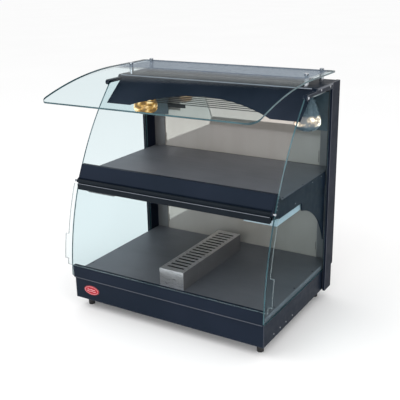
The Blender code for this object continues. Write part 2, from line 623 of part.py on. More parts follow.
def make_rear_door(level, bottom, handle_height):
    """A mirrored door hung from a rod along its top edge, with a pull near its foot."""
    height = REAR_HINGES[level]
    near = REAR_DOOR_FRONT
    far = near + REAR_DOOR_THICKNESS
    channel_foot = height - 0.022
    channel_top = height - 0.008
    knuckle = arc((REAR_HINGE_DEPTH, height), REAR_KNUCKLE, 180, 0, 14)
    rail = side_profile(level + "_door_rail", knuckle + [
        (far + 0.0020, height - 0.004), (far + 0.0020, channel_foot), (far + GAP, channel_foot),
        (far + GAP, channel_top), (near - GAP, channel_top), (near - GAP, channel_foot),
        (REAR_RAIL_FRONT, channel_foot), (REAR_RAIL_FRONT, height - 0.001),
    ], (-REAR_DOOR_HALF_WIDTH, REAR_DOOR_HALF_WIDTH), BLACK_EXTRUSION)
    combine(rail, cylinder(level + "_rail_bore", ROD_RADIUS + ROD_CLEARANCE,
                           (-0.5, depth(REAR_HINGE_DEPTH), height),
                           (0.5, depth(REAR_HINGE_DEPTH), height), "X", cutter=True))
    rod(level + "_door_rod", depth(REAR_HINGE_DEPTH), height, 0.3610)
    box(level + "_door_mirror", (-REAR_DOOR_HALF_WIDTH, REAR_DOOR_HALF_WIDTH), (depth(near), depth(far)),
        (bottom, channel_top - GAP), MIRROR)
    make_pull(level + "_door_handle", far + GAP, handle_height)


def make_pull(name, foot, height):
    """A bar pull bent from round rod, standing off the back of a door."""
    curve = bpy.data.curves.new(name, "CURVE")
    curve.dimensions = "3D"
    curve.bevel_depth = 0.005
    curve.bevel_resolution = 2
    curve.use_fill_caps = True
    corner = 0.012
    reach = PULL_REACH - 0.005
    right = arc((0.055 - corner, reach - corner), corner, 0, 90, 5)
    left = [(-x, y) for x, y in reversed(right)]
    run = [(0.055, foot)] + right + left + [(-0.055, foot)]
    spline = curve.splines.new("POLY")
    spline.points.add(len(run) - 1)
    for point, (x, y) in zip(spline.points, run):
        point.co = (x, depth(y), height, 1.0)
    tube = bpy.data.objects.new(name + "_curve", curve)
    scene.collection.objects.link(tube)
    mesh_of(tube, name, BLACK_EXTRUSION)


# ---------------------------------------------------------------- humidity box

def make_humidity_box():
    floor = LOWER_DECK_TOP + GAP
    left = STEAM_CENTRE - STEAM_HALF_WIDTH
    right = STEAM_CENTRE + STEAM_HALF_WIDTH
    front, rear = depth(STEAM_FRONT), depth(STEAM_REAR)
    skin = 0.0015
    cover = box("humidity_cover", (left, right), (front, rear), (floor, STEAM_TOP), STAINLESS)
    combine(cover, box("humidity_hollow", (left + skin, right - skin), (front + skin, rear - skin),
                       (floor - 0.01, STEAM_TOP - skin), cutter=True))
    pitch = (STEAM_REAR - STEAM_FRONT - 0.036) / STEAM_SLOTS
    for i in range(STEAM_SLOTS):
        middle = front + 0.018 + pitch * (i + 0.5)
        combine(cover, box(f"steam_slot_{i}", (left + 0.016, right - 0.016),
                           (middle - 0.0045, middle + 0.0045),
                           (STEAM_TOP - 0.01, STEAM_TOP + 0.01), cutter=True))
    pan = box("water_pan", (left + 0.006, right - 0.006), (front + 0.010, rear - 0.010),
              (floor, 0.185), STAINLESS)
    combine(pan, box("water_pan_hollow", (left + 0.0072, right - 0.0072), (front + 0.0112, rear - 0.0112),
                     (floor + 0.0012, 0.20), cutter=True))


# ---------------------------------------------------------------- canopy

def make_canopy():
    lower = CANOPY_TOP - CANOPY_THICKNESS
    centre = (CANOPY_BEND, CANOPY_TOP - CANOPY_RADIUS)
    final = 90 + math.degrees(CANOPY_SWEEP)
    upper_edge = arc(centre, CANOPY_RADIUS, 90, final, 16)
    under_edge = arc(centre, CANOPY_RADIUS - CANOPY_THICKNESS, final, 90, 16)
    run = upper_edge[-1][0] - CANOPY_NOSE
    fall = run * math.tan(CANOPY_SWEEP)
    tip = (CANOPY_NOSE, upper_edge[-1][1] - fall)
    thickness = (CANOPY_THICKNESS * math.sin(CANOPY_SWEEP), CANOPY_THICKNESS * math.cos(CANOPY_SWEEP))
    pane = side_profile("canopy_glass", [(CANOPY_REAR, CANOPY_TOP)] + upper_edge + [
        tip, (tip[0] + thickness[0], tip[1] - thickness[1])] + under_edge + [(CANOPY_REAR, lower)],
        (-CANOPY_HALF_WIDTH, CANOPY_HALF_WIDTH), CLEAR_GLASS)
    front, rear = depth(CANOPY_NOSE), depth(CANOPY_REAR)
    side, corner, small = CANOPY_HALF_WIDTH, CANOPY_CORNER, 0.010
    plan = arc((-side + corner, front + corner), corner, 180, 270, 8) \
        + arc((side - corner, front + corner), corner, 270, 360, 8) \
        + arc((side - small, rear - small), small, 0, 90, 4) \
        + arc((-side + small, rear - small), small, 90, 180, 4)
    combine(pane, plan_profile("canopy_plan", plan, (0.75, 0.92), cutter=True), "INTERSECT")
    for place_name, along in (("front", 0.372), ("rear", 0.507)):
        for name, sign in mirrored_names("standoff_" + place_name):
            centre = (sign * 0.362, depth(along))
            combine(pane, cylinder(name + "_hole", 0.0055, (*centre, 0.85), (*centre, 0.89), cutter=True))
            turned(name, [(0.0, 0.8815), (0.0065, 0.8815), (0.0080, 0.8800), (0.0080, CANOPY_TOP + GAP),
                          (0.0045, CANOPY_TOP + GAP), (0.0045, lower - GAP), (0.0080, lower - GAP),
                          (0.0080, HOOD_TOP + GAP), (0.0, HOOD_TOP + GAP)],
                   (*centre, 0.0), BRIGHT_METAL, 20)


make_base()
make_controls()
make_posts()
make_side_panes()
make_shelf()
make_front_door()
make_hood()
make_rear()
make_humidity_box()
make_canopy()
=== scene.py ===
"""Looks of the heated display cabinet: fine surfaces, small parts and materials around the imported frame."""

import json
import math

import bmesh
import bpy
from mathutils import Matrix, Vector


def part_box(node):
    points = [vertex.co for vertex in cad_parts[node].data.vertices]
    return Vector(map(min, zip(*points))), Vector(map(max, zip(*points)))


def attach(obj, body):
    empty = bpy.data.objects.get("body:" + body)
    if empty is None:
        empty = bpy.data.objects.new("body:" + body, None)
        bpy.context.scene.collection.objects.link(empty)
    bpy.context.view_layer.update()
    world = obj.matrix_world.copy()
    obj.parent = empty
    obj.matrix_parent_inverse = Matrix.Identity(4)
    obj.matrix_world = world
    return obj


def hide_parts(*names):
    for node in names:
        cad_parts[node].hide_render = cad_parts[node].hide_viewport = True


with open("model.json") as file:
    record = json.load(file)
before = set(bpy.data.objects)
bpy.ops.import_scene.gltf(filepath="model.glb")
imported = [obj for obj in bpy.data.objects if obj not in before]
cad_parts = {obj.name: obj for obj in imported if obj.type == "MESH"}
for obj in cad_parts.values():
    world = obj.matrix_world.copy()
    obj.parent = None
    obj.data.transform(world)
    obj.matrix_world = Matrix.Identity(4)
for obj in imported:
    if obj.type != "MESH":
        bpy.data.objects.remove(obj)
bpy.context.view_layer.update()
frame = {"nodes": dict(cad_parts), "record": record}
nodes = frame["nodes"]

bodies = frame["record"]["behaviour"]["bodies"]
body_of = {node: body for body, members in bodies.items() for node in members}
slot_of = {part["node"]: part["material_slot"] for part in frame["record"]["subparts"]}
scene = bpy.context.scene
SIDES = (("left", -1), ("right", 1))


def box_of(node):
    low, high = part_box(node)
    return Vector(low), Vector(high)


# ---------------------------------------------------------------- material helpers

class Surface:
    """A Principled material whose texture nodes read the piece's own coordinates, in metres."""

    def __init__(self, name, **values):
        self.material = bpy.data.materials.new(name)
        self.material.use_nodes = True
        self.tree = self.material.node_tree
        self.shader = self.tree.nodes["Principled BSDF"]
        self.coordinates = self.tree.nodes.new("ShaderNodeTexCoord").outputs["Object"]
        for socket, value in values.items():
            self.shader.inputs[socket.replace("_", " ")].default_value = value

    def add(self, kind, **inputs):
        node = self.tree.nodes.new(kind)
        for socket, value in inputs.items():
            self.feed(value, node.inputs[socket.replace("_", " ")])
        return node

    def feed(self, value, socket):
        if isinstance(value, bpy.types.NodeSocket):
            self.tree.links.new(value, socket)
        else:
            socket.default_value = value

    def noise(self, scale, detail=3.0, stretch=(1.0, 1.0, 1.0), roughness=0.5):
        """Noise with this many cells to the metre; stretch draws its grain out along an axis."""
        mapping = self.add("ShaderNodeMapping", Vector=self.coordinates)
        mapping.inputs["Scale"].default_value = stretch
        texture = self.add("ShaderNodeTexNoise", Vector=mapping.outputs["Vector"], Scale=scale,
                           Detail=detail, Roughness=roughness)
        return texture.outputs["Fac"]

    def ramp(self, factor, *stops):
        """A colour ramp through (place, colour) stops; a plain number stands for a grey."""
        node = self.add("ShaderNodeValToRGB", Fac=factor)
        elements = node.color_ramp.elements
        while len(elements) < len(stops):
            elements.new(0.5)
        for element, (place, colour) in zip(elements, stops):
            element.position = place
            element.color = (colour, colour, colour, 1.0) if isinstance(colour, float) else (*colour, 1.0)
        return node.outputs["Color"]

    def blend(self, factor, first, second, mode="MIX"):
        node = self.tree.nodes.new("ShaderNodeMix")
        node.data_type = "RGBA"
        node.blend_type = mode
        self.feed(factor, node.inputs["Factor"])
        self.feed(first if isinstance(first, bpy.types.NodeSocket) else (*first, 1.0), node.inputs["A"])
        self.feed(second if isinstance(second, bpy.types.NodeSocket) else (*second, 1.0), node.inputs["B"])
        return node.outputs["Result"]

    def math(self, operation, first, second=0.0, clamp=False):
        node = self.tree.nodes.new("ShaderNodeMath")
        node.operation = operation
        node.use_clamp = clamp
        self.feed(first, node.inputs[0])
        self.feed(second, node.inputs[1])
        return node.outputs[0]

    def along(self, axis):
        """The piece's own coordinate along X, Y or Z."""
        return self.add("ShaderNodeSeparateXYZ", Vector=self.coordinates).outputs[axis]

    def bump(self, height, distance, strength=1.0):
        node = self.add("ShaderNodeBump", Height=height, Distance=distance, Strength=strength)
        self.feed(node.outputs["Normal"], self.shader.inputs["Normal"])

    def set(self, **inputs):
        for socket, value in inputs.items():
            self.feed(value, self.shader.inputs[socket.replace("_", " ")])
        return self.material


def powder_coat(name, dark, light, roughness, sheen_level=0.32):
    """Satin textured paint: fine orange peel, a faint cloudiness and a little variation in gloss."""
    paint = Surface(name)
    paint.shader.inputs["Specular IOR Level"].default_value = sheen_level
    clouds = paint.noise(5.0, 4.0)
    grain = paint.noise(1400.0, 2.0)
    colour = paint.ramp(clouds, (0.30, dark), (0.72, light))
    speck = paint.ramp(grain, (0.35, 0.93), (0.70, 1.0))
    paint.bump(paint.noise(700.0, 2.0), 0.000012, 0.5)
    gloss = paint.ramp(paint.noise(40.0, 3.0), (0.3, roughness - 0.05), (0.7, roughness + 0.06))
    return paint.set(Base_Color=paint.blend(1.0, colour, speck, "MULTIPLY"), Roughness=gloss)


def hard_coat(name):
    """Hard-anodised aluminium plate: matte dark grey with a fine sand-blasted grain and faint wipe marks."""
    plate = Surface(name, Metallic=0.55)
    plate.shader.inputs["Specular IOR Level"].default_value = 0.5
    clouds = plate.noise(7.0, 5.0)
    wipes = plate.noise(60.0, 3.0, (0.12, 1.0, 1.0))
    colour = plate.ramp(clouds, (0.3, (0.166, 0.172, 0.196)), (0.7, (0.196, 0.201, 0.228)))
    speck = plate.ramp(plate.noise(2200.0, 2.0), (0.3, 0.90), (0.7, 1.0))
    plate.bump(plate.noise(1600.0, 2.0), 0.00001, 0.4)
    return plate.set(Base_Color=plate.blend(1.0, colour, speck, "MULTIPLY"),
                     Roughness=plate.ramp(wipes, (0.3, 0.52), (0.7, 0.57)))


def brushed(name, dark, light, roughness, stretch, metallic=1.0):
    """Brushed stainless sheet; stretch is small along the brushing."""
    steel = Surface(name, Metallic=metallic)
    lines = steel.noise(900.0, 4.0, stretch, 0.6)
    tone = steel.noise(12.0, 3.0)
    colour = steel.blend(0.5, steel.ramp(lines, (0.25, dark), (0.75, light)),
                         steel.ramp(tone, (0.3, dark), (0.7, light)))
    steel.bump(lines, 0.000008, 0.4)
    return steel.set(Base_Color=colour,
                     Roughness=steel.ramp(lines, (0.3, roughness - 0.06), (0.7, roughness + 0.08)))


def plain_metal(name, colour, roughness):
    """Turned or plated metal with a little handling wear in its gloss."""
    metal = Surface(name, Metallic=1.0)
    wear = metal.noise(260.0, 3.0)
    lighter = tuple(min(1.0, part * 1.08) for part in colour)
    return metal.set(Base_Color=metal.ramp(wear, (0.3, colour), (0.7, lighter)),
                     Roughness=metal.ramp(wear, (0.3, roughness), (0.7, roughness + 0.08)))


def plastic(name, colour, roughness, grain, depth):
    """Moulded plastic or rubber with a fine spark-eroded grain."""
    moulded = Surface(name)
    fine = moulded.noise(grain, 2.0)
    lighter = tuple(part * 1.5 + 0.004 for part in colour)
    moulded.bump(fine, depth, 0.6)
    return moulded.set(Base_Color=moulded.ramp(fine, (0.3, colour), (0.75, lighter)),
                       Roughness=moulded.ramp(moulded.noise(90.0), (0.3, roughness), (0.7, roughness + 0.1)))


def sheet_glass(name, tint, band=None):
    """Clear float glass: each face tints what is behind it a little and mirrors at a glancing angle.

    A band is (start of the band along Y, half width along X): a fired-on print on the flat part."""
    pane = Surface(name)
    tree = pane.tree
    output = tree.nodes["Material Output"]
    tree.nodes.remove(pane.shader)
    slant = pane.add("ShaderNodeLayerWeight", Blend=0.5).outputs["Facing"]
    glancing = pane.math("MULTIPLY", pane.math("SUBTRACT", slant, GLOSS_STARTS), 3.5, clamp=True)
    share = pane.math("MULTIPLY", glancing, GLASS_GLOSS)
    streaks = pane.ramp(pane.noise(3.0, 2.0), (0.2, tuple(part * 0.985 for part in tint)), (0.8, tint))
    clear = pane.add("ShaderNodeBsdfTransparent", Color=streaks).outputs["BSDF"]
    gloss = pane.add("ShaderNodeBsdfAnisotropic", Color=(1.0, 1.0, 1.0, 1.0), Roughness=0.01).outputs["BSDF"]
    mixed = pane.add("ShaderNodeMixShader", Fac=share)
    tree.links.new(clear, mixed.inputs[1])
    tree.links.new(gloss, mixed.inputs[2])
    surface = mixed.outputs["Shader"]
    if band:
        surface = printed_band(pane, surface, *band)
    tree.links.new(surface, output.inputs["Surface"])
    return pane.material


def printed_band(pane, glass, start, half_width):
    """A blue-grey enamel print over part of a pane, with soft edges."""
    behind = pane.math("MULTIPLY", pane.math("SUBTRACT", pane.along("Y"), start), 120.0, clamp=True)
    within = pane.math("SUBTRACT", half_width, pane.math("ABSOLUTE", pane.along("X")))
    inside = pane.math("MULTIPLY", within, 250.0, clamp=True)
    cover = pane.math("MULTIPLY", pane.math("MULTIPLY", behind, inside), PRINT_COVER)
    tone = pane.ramp(pane.noise(6.0), (0.3, (0.135, 0.170, 0.225)), (0.7, (0.165, 0.205, 0.265)))
    print_coat = pane.add("ShaderNodeBsdfDiffuse", Color=tone).outputs["BSDF"]
    mixed = pane.add("ShaderNodeMixShader", Fac=cover)
    pane.tree.links.new(glass, mixed.inputs[1])
    pane.tree.links.new(print_coat, mixed.inputs[2])
    return mixed.outputs["Shader"]


def glass_edge(name, deep, middle, pale, opacity):
    """The polished edge of a pane, where the glass shows its deep blue-green body."""
    edge = Surface(name, Alpha=opacity)
    edge.shader.inputs["Specular IOR Level"].default_value = 0.5
    colour = edge.ramp(edge.noise(14.0, 3.0), (0.25, deep), (0.55, middle), (0.85, pale))
    return edge.set(Base_Color=colour, Roughness=edge.ramp(edge.noise(300.0), (0.3, 0.10), (0.7, 0.22)))


def mirror_glass(name):
    """Bronze mirror glass: part mirror, part warm haze, with faint wipe marks."""
    glass = Surface(name, Metallic=0.52)
    haze = glass.noise(18.0, 5.0, (1.0, 1.0, 0.3))
    tone = glass.ramp(haze, (0.3, (0.645, 0.590, 0.540)), (0.7, (0.688, 0.632, 0.577)))
    return glass.set(Base_Color=tone, Roughness=glass.ramp(haze, (0.35, 0.012), (0.8, 0.030)))


def lamp_bulb(name, middle, reach, strength, bright, warm, deep):
    """A reflector bulb: silvered glass that glows in patches, within a reach of one height."""
    bulb = Surface(name)
    away = bulb.math("ABSOLUTE", bulb.math("SUBTRACT", bulb.along("Z"), middle))
    lit = bulb.math("DIVIDE", bulb.math("SUBTRACT", reach, away), 0.35 * reach, clamp=True)
    patches = bulb.noise(34.0, 2.0, (1.0, 1.0, 1.7))
    spots = bulb.ramp(patches, (0.42, deep), (0.54, warm), (0.64, bright))
    skin = bulb.ramp(bulb.noise(30.0), (0.3, (0.075, 0.100, 0.125)), (0.7, (0.115, 0.150, 0.180)))
    return bulb.set(Base_Color=bulb.blend(lit, skin, spots),
                    Roughness=bulb.ramp(patches, (0.1, 0.15), (0.6, 0.30)),
                    Emission_Color=spots, Emission_Strength=bulb.math("MULTIPLY", lit, strength))


def lamp_tube(name, strength):
    """A frosted tube lamp, evenly lit, its tone varying with a fine frost grain."""
    tube = Surface(name)
    frost = tube.noise(400.0, 2.0)
    tone = tube.ramp(frost, (0.3, (1.0, 0.80, 0.55)), (0.7, (1.0, 0.88, 0.68)))
    return tube.set(Base_Color=tone, Roughness=tube.ramp(frost, (0.3, 0.3), (0.7, 0.45)),
                    Emission_Color=tone, Emission_Strength=strength)


def enamel(name, colour, roughness):
    """Glossy fired enamel with a slight waviness."""
    coat = Surface(name)
    tone = coat.noise(120.0, 3.0)
    darker = tuple(part * 0.8 for part in colour)
    coat.bump(coat.noise(260.0, 1.0), 0.00008, 0.3)
    return coat.set(Base_Color=coat.ramp(tone, (0.3, darker), (0.7, colour)),
                    Roughness=coat.ramp(tone, (0.3, roughness), (0.7, roughness + 0.08)))


# ---------------------------------------------------------------- paints

COAT = powder_coat("powder_coat", (0.0060, 0.0115, 0.0210), (0.0100, 0.0155, 0.0285), 0.42, 0.07)
# The hood's copy of the powder coat is painted lighter: painted light on the hood.
LIT_HOOD_PAINT = powder_coat("hood_paint_lit", (0.0130, 0.0185, 0.0290), (0.0270, 0.0330, 0.0500), 0.46, 0.04)
# The posts' copy of the powder coat is painted darker: painted shade on the posts' faces.
SHADED_POST_PAINT = powder_coat("post_paint_shaded", (0.0060, 0.0095, 0.0185), (0.0100, 0.0135, 0.0260), 0.40, 0.03)
# A lighter coat for rounded edges and thin beads: a painted highlight where edges catch light.
EDGE_HIGHLIGHT_COAT = powder_coat("painted_edge_highlight", (0.070, 0.080, 0.100), (0.095, 0.105, 0.130), 0.36, 0.30)
# A pale coat for thin beads along folds: a painted highlight.
PAINTED_FOLD_HIGHLIGHT = powder_coat("painted_fold_highlight", (0.230, 0.250, 0.290), (0.290, 0.310, 0.360), 0.34, 0.30)
EXTRUSION = powder_coat("black_extrusion", (0.0030, 0.0060, 0.0100), (0.0060, 0.0100, 0.0150), 0.36, 0.10)
DECK = hard_coat("hard_coat_deck")

# ---------------------------------------------------------------- metals

# The brushing's grain is drawn out along one axis, or along none.
ALONG_X, ALONG_Y, ALONG_Z = (0.04, 1.0, 1.0), (1.0, 0.04, 1.0), (1.0, 1.0, 0.04)
UNDRAWN = (1.0, 1.0, 1.0)
STEEL = brushed("stainless", (0.42, 0.41, 0.41), (0.60, 0.59, 0.58), 0.32, ALONG_Y, 0.7)
STEEL_ACROSS = brushed("stainless_across", (0.48, 0.47, 0.48), (0.74, 0.71, 0.73), 0.30, ALONG_X, 0.72)
# A darker copy of the stainless for the cover's sides: painted shade.
SHADED_SIDE_STEEL = brushed("shaded_side_stainless", (0.150, 0.140, 0.145), (0.225, 0.210, 0.218), 0.40, ALONG_Y, 0.6)
GREY_STEEL = brushed("grey_steel", (0.16, 0.16, 0.165), (0.21, 0.21, 0.215), 0.42, ALONG_Z, 0.5)
# Steel darkened with painted shade, for the heater guard, the water pan and the cover's inside.
SHADOWED_STEEL = brushed("painted_shade_steel", (0.026, 0.026, 0.028), (0.042, 0.042, 0.046), 0.45, ALONG_X, 0.6)
FOIL = brushed("heater_foil", (0.50, 0.30, 0.16), (0.72, 0.46, 0.26), 0.36, UNDRAWN)
SHEATH = plain_metal("element_sheath", (0.20, 0.17, 0.15), 0.42)
CHROME = plain_metal("bright_metal", (0.42, 0.44, 0.47), 0.14)
SCREW = plain_metal("screw_metal", (0.42, 0.43, 0.45), 0.28)
BLACK_SCREW = plain_metal("black_screw", (0.035, 0.038, 0.045), 0.35)

# ---------------------------------------------------------------- glass and mirrors

GLASS_GLOSS = 0.30              # the most that a pane mirrors
GLOSS_STARTS = 0.72             # how far a face turns from the eye before it mirrors anything
PRINT_COVER = 0.54              # each face of the canopy carries this much of the print
PANE_TINT = (0.885, 0.935, 0.945)
CANOPY_LOW, CANOPY_HIGH = box_of("canopy_glass")
PRINT_BAND = (CANOPY_LOW.y + 0.396, CANOPY_HIGH.x - 0.018)
PANE = sheet_glass("pane_glass", PANE_TINT)
DOOR_PANE = sheet_glass("door_pane_glass", (0.955, 0.978, 0.982))
CANOPY_PANE = sheet_glass("canopy_pane_glass", PANE_TINT, PRINT_BAND)
PANE_EDGE = glass_edge("pane_edge", (0.012, 0.040, 0.052), (0.026, 0.075, 0.090),
                       (0.060, 0.140, 0.160), 1.0)
DOOR_EDGE = glass_edge("door_edge", (0.120, 0.180, 0.200), (0.220, 0.290, 0.310),
                       (0.300, 0.370, 0.390), 0.60)
MIRROR = mirror_glass("mirror_glass")

# ---------------------------------------------------------------- plastics and enamels

RUBBER = plastic("foot_rubber", (0.012, 0.012, 0.013), 0.80, 900.0, 0.00010)
PLASTIC = plastic("black_plastic", (0.018, 0.018, 0.020), 0.42, 1500.0, 0.00005)
WHITE_MARK = enamel("white_mark", (0.70, 0.70, 0.68), 0.40)
RED = enamel("red_enamel", (0.38, 0.005, 0.018), 0.16)
PINK = enamel("badge_relief", (0.72, 0.34, 0.36), 0.24)
SHIELD = enamel("white_shield", (0.46, 0.55, 0.61), 0.38)
CORNER = enamel("corner_plate_enamel", (0.085, 0.118, 0.145), 0.38)
SILICONE = plastic("silicone_seal", (0.010, 0.012, 0.015), 0.50, 600.0, 0.00005)

# ---------------------------------------------------------------- lamps

LAMP_BOTTOM = box_of("hood_lamp_left")[0].z
AMBER_LAMP = lamp_bulb("amber_lamp_glow", LAMP_BOTTOM + 0.0365, 0.034, 0.82, (1.0, 0.72, 0.38),
                       (0.50, 0.26, 0.06), (0.17, 0.09, 0.030))
CREAM_LAMP = lamp_bulb("cream_lamp_glow", LAMP_BOTTOM + 0.0405, 0.020, 1.3, (1.0, 0.88, 0.74),
                       (0.40, 0.29, 0.21), (0.12, 0.11, 0.11))
SHELF_LAMP = lamp_tube("shelf_lamp_glow", 1.6)

# ---------------------------------------------------------------- which finish each node takes

# The finish of each material slot, and of the nodes that differ from their slot.
FINISH = {
    "powder_coat": COAT, "hard_coat_deck": DECK, "stainless": STEEL, "grey_steel": GREY_STEEL,
    "bright_metal": CHROME, "black_extrusion": EXTRUSION, "clear_glass": PANE, "mirror": MIRROR,
    "rubber": RUBBER, "black_plastic": PLASTIC, "red_enamel": RED, "heater_foil": FOIL,
    "lamp_glass": CREAM_LAMP, "white_enamel": SHIELD,
}
SPECIAL = {
    "radiant_heater": SHEATH, "shelf_lamp_left": SHELF_LAMP, "shelf_lamp_right": SHELF_LAMP,
    "humidity_cover": STEEL_ACROSS, "heater_guard": SHADOWED_STEEL, "hood_lamp_left": AMBER_LAMP,
    # The left lamp shield takes grey steel, darker than the right one's enamel: painted shade.
    "hood_cover": LIT_HOOD_PAINT, "water_pan": SHADOWED_STEEL, "lamp_shield_left": GREY_STEEL,
    "post_left": SHADED_POST_PAINT, "post_right": SHADED_POST_PAINT,
}


def finish_of(node):
    return SPECIAL.get(node, FINISH[slot_of[node]])


# ---------------------------------------------------------------- mesh helpers

def shade(piece, angle=35.0):
    piece.data.shade_smooth()
    piece.data.set_sharp_from_angle(angle=math.radians(angle))
    return piece


def add_piece(name, mesh, materials, body, replaced=()):
    """Put a mesh in the scene as a piece that rides on a body."""
    piece = bpy.data.objects.new(name, mesh)
    scene.collection.objects.link(piece)
    for finish in materials:
        mesh.materials.append(finish)
    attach(piece, body)
    if replaced:
        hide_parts(*replaced)
    return piece


def copied_form(node):
    """The node's own surface as whole flat faces, welded, in a new bmesh."""
    form = bmesh.new()
    form.from_mesh(nodes[node].data)
    bmesh.ops.remove_doubles(form, verts=form.verts, dist=0.00001)
    bmesh.ops.dissolve_limit(form, angle_limit=math.radians(1.0), verts=form.verts, edges=form.edges)
    bmesh.ops.recalc_face_normals(form, faces=form.faces)
    return form


def refined(node, radius, highlight_finish=None):
    """A finer surface for a node: its own shape with every sharp edge rounded, in a finish of their own; a
    lighter edge coat given here paints a highlight on the edges.
    """
    form = copied_form(node)
    mesh = bpy.data.meshes.new(node + "_fine")
    form.to_mesh(mesh)
    form.free()
    finishes = [finish_of(node)] + ([highlight_finish] if highlight_finish else [])
    piece = add_piece(node + "_shell", mesh, finishes, body_of[node], [node])
    rounding = piece.modifiers.new("rounding", "BEVEL")
    rounding.width = radius
    rounding.segments = 3
    rounding.limit_method = "ANGLE"
    rounding.angle_limit = math.radians(32.0)
    rounding.use_clamp_overlap = True
    rounding.harden_normals = True
    rounding.material = 1 if highlight_finish else -1
    shade(piece, 40.0)
    return piece


def refined_cover(node, radius):
    """An open-bottomed sheet cover: its sides brushed along their length in a darker steel as painted shade,
    its inside and slot walls in painted shade.
    """
    low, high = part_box(node)
    piece = refined(node, radius)
    mesh = piece.data
    mesh.materials.append(SHADED_SIDE_STEEL)
    mesh.materials.append(SHADOWED_STEEL)
    for face in mesh.polygons:
        below_skin = min(min(place - a, b - place) for place, a, b in zip(face.center, low, high))
        if below_skin > 0.0004:
            face.material_index = 2
        elif abs(face.normal.x) > 0.9:
            face.material_index = 1
    return piece


def pane(node, arris, glass, edge):
    """A glass pane from a node's shape: clear faces, coloured edges and a ground arris between them."""
    form = copied_form(node)
    narrow = 0.004
    for face in form.faces:
        outline = sum(line.calc_length() for line in face.edges)
        face.material_index = 1 if face.calc_area() / outline < narrow else 0
    mesh = bpy.data.meshes.new(node + "_pane")
    form.to_mesh(mesh)
    form.free()
    piece = add_piece(node + "_pane", mesh, [glass, edge], body_of[node], [node])
    ground = piece.modifiers.new("arris", "BEVEL")
    ground.width = arris
    ground.segments = 2
    ground.limit_method = "ANGLE"
    ground.angle_limit = math.radians(50.0)
    ground.material = 1
    shade(piece, 30.0)
    return piece


def ring_form(form, profile, place, sides=24, squash=(1.0, 1.0)):
    """Add a solid of revolution to a bmesh; place turns its own Z axis and moves it."""
    rings = []
    for radius, height in profile:
        if radius == 0.0:
            rings.append([form.verts.new(place @ Vector((0.0, 0.0, height)))])
        else:
            turns = [math.tau * i / sides for i in range(sides)]
            rings.append([form.verts.new(place @ Vector((radius * squash[0] * math.cos(turn),
                                                         radius * squash[1] * math.sin(turn), height)))
                          for turn in turns])
    for lower, upper in zip(rings, rings[1:]):
        for i in range(sides):
            j = (i + 1) % sides
            if len(lower) == 1:
                form.faces.new((lower[0], upper[j], upper[i]))
            elif len(upper) == 1:
                form.faces.new((lower[i], lower[j], upper[0]))
            else:
                form.faces.new((lower[i], lower[j], upper[j], upper[i]))


def facing(point, direction):
    """A placing that puts a piece's own Z along a direction, at a point."""
    turn = Vector(direction).to_track_quat("Z", "Y").to_matrix().to_4x4()
    return Matrix.Translation(point) @ turn


def revolved(name, profile, place, finish, body, replaced=(), sides=32, squash=(1.0, 1.0)):
    form = bmesh.new()
    ring_form(form, profile, place, sides, squash)
    bmesh.ops.recalc_face_normals(form, faces=form.faces)
    mesh = bpy.data.meshes.new(name)
    form.to_mesh(mesh)
    form.free()
    return shade(add_piece(name, mesh, [finish], body, replaced))


def heads(name, profile, places, body, finish):
    """The same turned head at every place, as one piece. Places are (point, direction)."""
    form = bmesh.new()
    for point, direction in places:
        ring_form(form, profile[::-1], facing(point, direction), 16)
    bmesh.ops.recalc_face_normals(form, faces=form.faces)
    mesh = bpy.data.meshes.new(name)
    form.to_mesh(mesh)
    form.free()
    return shade(add_piece(name, mesh, [finish], body))


def screws(name, places, body, radius, finish):
    """Button-head screws with a socket in each head."""
    r = radius
    profile = [(0.0, -0.0004), (0.42 * r, -0.0002), (0.46 * r, 0.38 * r), (0.70 * r, 0.34 * r),
               (0.92 * r, 0.18 * r), (r, 0.02 * r), (r, -0.12 * r), (0.0, -0.12 * r - 0.0004)]
    return heads(name, profile, places, body, finish)


def disc_heads(name, places, body, radius, finish):
    """Low countersunk heads with a recess, for places where almost nothing can stand proud."""
    profile = [(0.0, -0.0005), (0.40 * radius, -0.0004), (0.46 * radius, 0.0003), (0.90 * radius, 0.0003),
               (radius, 0.0), (radius, -0.0008), (0.0, -0.0010)]
    return heads(name, profile, places, body, finish)


def slab(name, low, high, finish, body, rounding=0.0006):
    """A rounded block between two corners."""
    form = bmesh.new()
    bmesh.ops.create_cube(form, size=1.0)
    size = [b - a for a, b in zip(low, high)]
    centre = [(a + b) / 2 for a, b in zip(low, high)]
    form.transform(Matrix.Translation(centre) @ Matrix.Diagonal((*size, 1.0)))
    bmesh.ops.bevel(form, geom=form.edges[:], offset=rounding, segments=3, profile=0.5, affect="EDGES")
    mesh = bpy.data.meshes.new(name)
    form.to_mesh(mesh)
    form.free()
    return shade(add_piece(name, mesh, [finish], body))


def swept(name, points, radius, finish, body, closed=False):
    """A round bead or wire along a line of points."""
    curve = bpy.data.curves.new(name, "CURVE")
    curve.dimensions = "3D"
    curve.bevel_depth = radius
    curve.bevel_resolution = 3
    curve.use_fill_caps = not closed
    spline = curve.splines.new("POLY")
    spline.points.add(len(points) - 1)
    for point, place in zip(spline.points, points):
        point.co = (*place, 1.0)
    spline.use_cyclic_u = closed
    holder = bpy.data.objects.new(name + "_curve", curve)
    scene.collection.objects.link(holder)
    bpy.context.view_layer.update()
    mesh = bpy.data.meshes.new_from_object(holder.evaluated_get(bpy.context.evaluated_depsgraph_get()))
    bpy.data.objects.remove(holder)
    mesh.materials.clear()
    return shade(add_piece(name, mesh, [finish], body))


# ---------------------------------------------------------------- camera, floor and light

